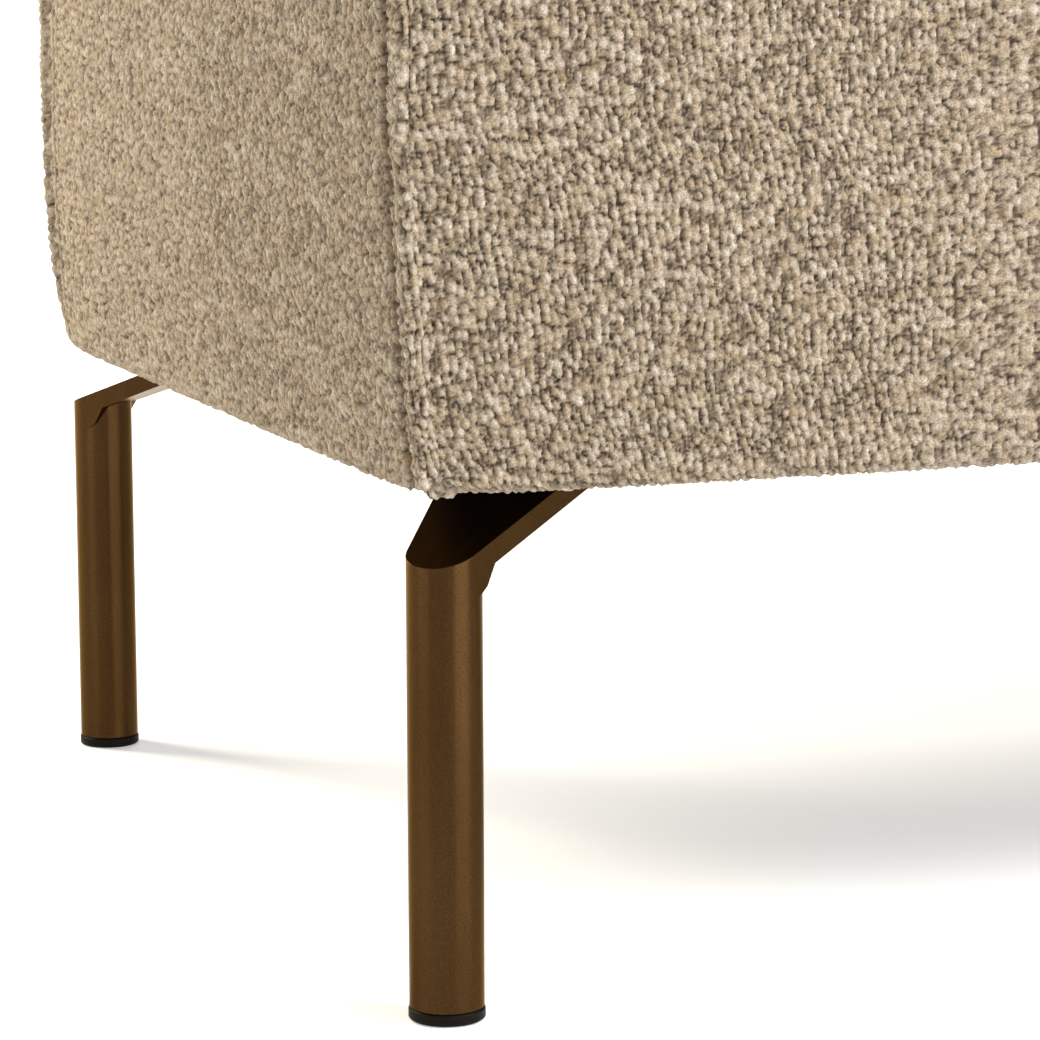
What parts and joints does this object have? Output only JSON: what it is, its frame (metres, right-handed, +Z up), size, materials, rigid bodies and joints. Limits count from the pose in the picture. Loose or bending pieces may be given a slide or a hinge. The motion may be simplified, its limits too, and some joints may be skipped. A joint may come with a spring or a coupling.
{
  "type": "storage ottoman",
  "caption": "Rectangular upholstered ottoman in beige boucle on slim bronze metal legs, with a hinged lid on gas struts over a lined storage box.",
  "frame": {"origin": "on the floor, under the middle of the ottoman", "axes": "+Z up, +X along the length to the right as seen from the front, -Y to the front, hinges at +Y"},
  "size_m": [0.8, 0.5, 0.45],
  "materials": {
    "boucle": "matte",
    "bronze_paint": "satin",
    "black_plastic": "matte",
    "plywood": "satin",
    "foam": "matte",
    "lining_cloth": "matte",
    "zinc_steel": "satin",
    "chrome": "polished",
    "black_paint": "satin",
    "rubber": "matte"
  },
  "bodies": {
    "box": {"cover_front": "boucle", "foam_front": "foam", "lining_front": "lining_cloth", "panel_front": "plywood", "cover_back": "boucle", "foam_back": "foam", "lining_back": "lining_cloth", "panel_back": "plywood", "cover_left": "boucle", "foam_left": "foam", "lining_left": "lining_cloth", "panel_left": "plywood", "cover_right": "boucle", "foam_right": "foam", "lining_right": "lining_cloth", "panel_right": "plywood", "corner_block_front_left": "plywood", "leg_front_left": "bronze_paint", "foot_glide_front_left": "black_plastic", "corner_block_front_right": "plywood", "leg_front_right": "bronze_paint", "foot_glide_front_right": "black_plastic", "corner_block_back_right": "plywood", "leg_back_right": "bronze_paint", "foot_glide_back_right": "black_plastic", "corner_block_back_left": "plywood", "leg_back_left": "bronze_paint", "foot_glide_back_left": "black_plastic", "floor_panel": "plywood", "lining_floor": "lining_cloth", "dust_cover": "lining_cloth", "hinge_box_leaf_left": "zinc_steel", "hinge_pin_left": "zinc_steel", "strut_box_bracket_left": "zinc_steel", "bumper_left": "rubber", "hinge_box_leaf_right": "zinc_steel", "hinge_pin_right": "zinc_steel", "strut_box_bracket_right": "zinc_steel", "bumper_right": "rubber"},
    "lid": {"lid_cover": "boucle", "lid_board": "plywood", "lid_foam": "foam", "lid_lining": "lining_cloth", "hinge_lid_leaf_left": "zinc_steel", "hinge_lid_leaf_right": "zinc_steel", "strut_lid_bracket_left": "zinc_steel", "strut_lid_bracket_right": "zinc_steel"},
    "strut_cylinder_left": {"strut_lower_socket_left": "black_plastic", "strut_cylinder_left": "black_paint"},
    "strut_rod_left": {"strut_rod_left": "chrome", "strut_upper_socket_left": "black_plastic"},
    "strut_cylinder_right": {"strut_lower_socket_right": "black_plastic", "strut_cylinder_right": "black_paint"},
    "strut_rod_right": {"strut_rod_right": "chrome", "strut_upper_socket_right": "black_plastic"}
  },
  "joints": [
    {"name": "lid_hinge", "type": "hinge", "parent": "box", "child": "lid", "pos_m": [0, 0.2465, 0.35], "axis": [-1, 0, 0], "range_deg": [0, 80]},
    {"name": "strut_left_turn", "type": "hinge", "parent": "box", "child": "strut_cylinder_left", "pos_m": [-0.356, 0.09, 0.228], "axis": [1, 0, 0], "range_deg": [0, 5.28]},
    {"name": "strut_left_slide", "type": "slide", "parent": "strut_cylinder_left", "child": "strut_rod_left", "axis": [0, 0.6956, 0.7184], "range_m": [0, 0.064]},
    {"name": "strut_right_turn", "type": "hinge", "parent": "box", "child": "strut_cylinder_right", "pos_m": [0.356, 0.09, 0.228], "axis": [1, 0, 0], "range_deg": [0, 5.28]},
    {"name": "strut_right_slide", "type": "slide", "parent": "strut_cylinder_right", "child": "strut_rod_right", "axis": [0, 0.6956, 0.7184], "range_m": [0, 0.064]}
  ],
  "couplings": [
    {"joint": "strut_left_turn", "follows": "lid_hinge", "ratio": 0.065937},
    {"joint": "strut_left_slide", "follows": "lid_hinge", "m_per_rad": 0.045793},
    {"joint": "strut_right_turn", "follows": "lid_hinge", "ratio": 0.065937},
    {"joint": "strut_right_slide", "follows": "lid_hinge", "m_per_rad": 0.045793}
  ]
}
